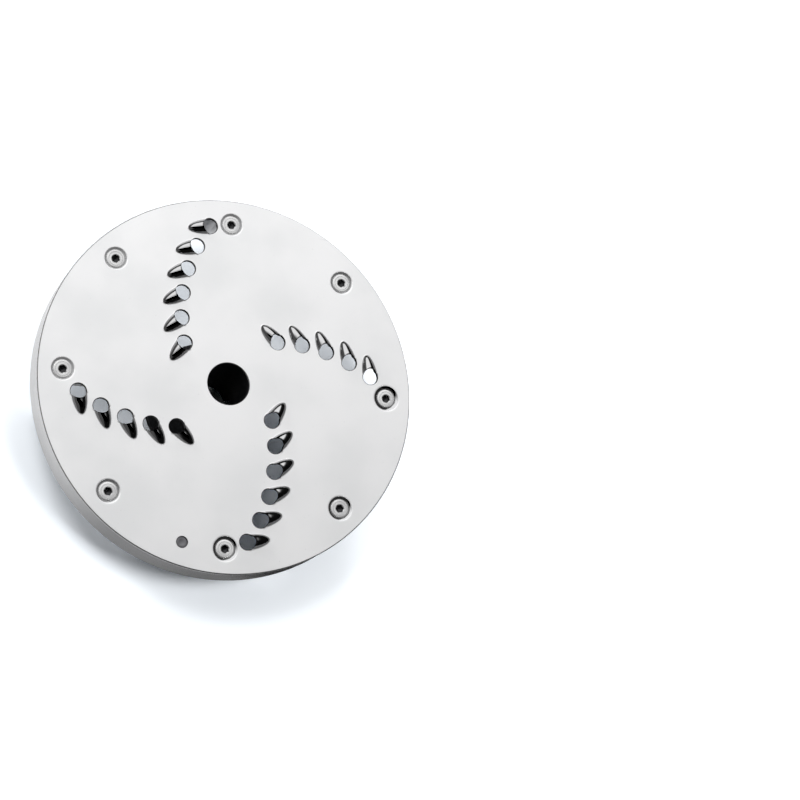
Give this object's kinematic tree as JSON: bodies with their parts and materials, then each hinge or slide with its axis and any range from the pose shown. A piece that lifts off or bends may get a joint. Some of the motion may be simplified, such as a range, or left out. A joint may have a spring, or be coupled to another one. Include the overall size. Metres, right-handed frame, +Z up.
{
  "type": "food processor disc",
  "caption": "Round shredding disc: punched steel plate with curved rows of raised teeth, screwed to a cast ring carrier on a dark flared drive hub with a shaft bore.",
  "frame": {"origin": "on the disc's axis, in the plane of the hub's foot that it stands on", "axes": "+Z up the axis, out of the toothed face; +Y towards the screw at the head of the first row of teeth; +X a quarter turn clockwise from it, seen from above"},
  "size_m": [0.205, 0.205, 0.053],
  "materials": {
    "plate_steel": "satin, with fine hairline scratches and bright formed teeth",
    "cast_aluminium": "turned outside, as cast inside",
    "dark_moulding": "matte moulded",
    "screw_steel": "bright, with turned rings on the head",
    "pin_steel": "dull ground end"
  },
  "bodies": {
    "root": {"grating_plate": "plate_steel", "carrier_body": "cast_aluminium", "drive_hub": "dark_moulding", "plate_screws": "screw_steel", "hub_screws": "screw_steel", "locating_pin": "pin_steel"}
  },
  "joints": []
}
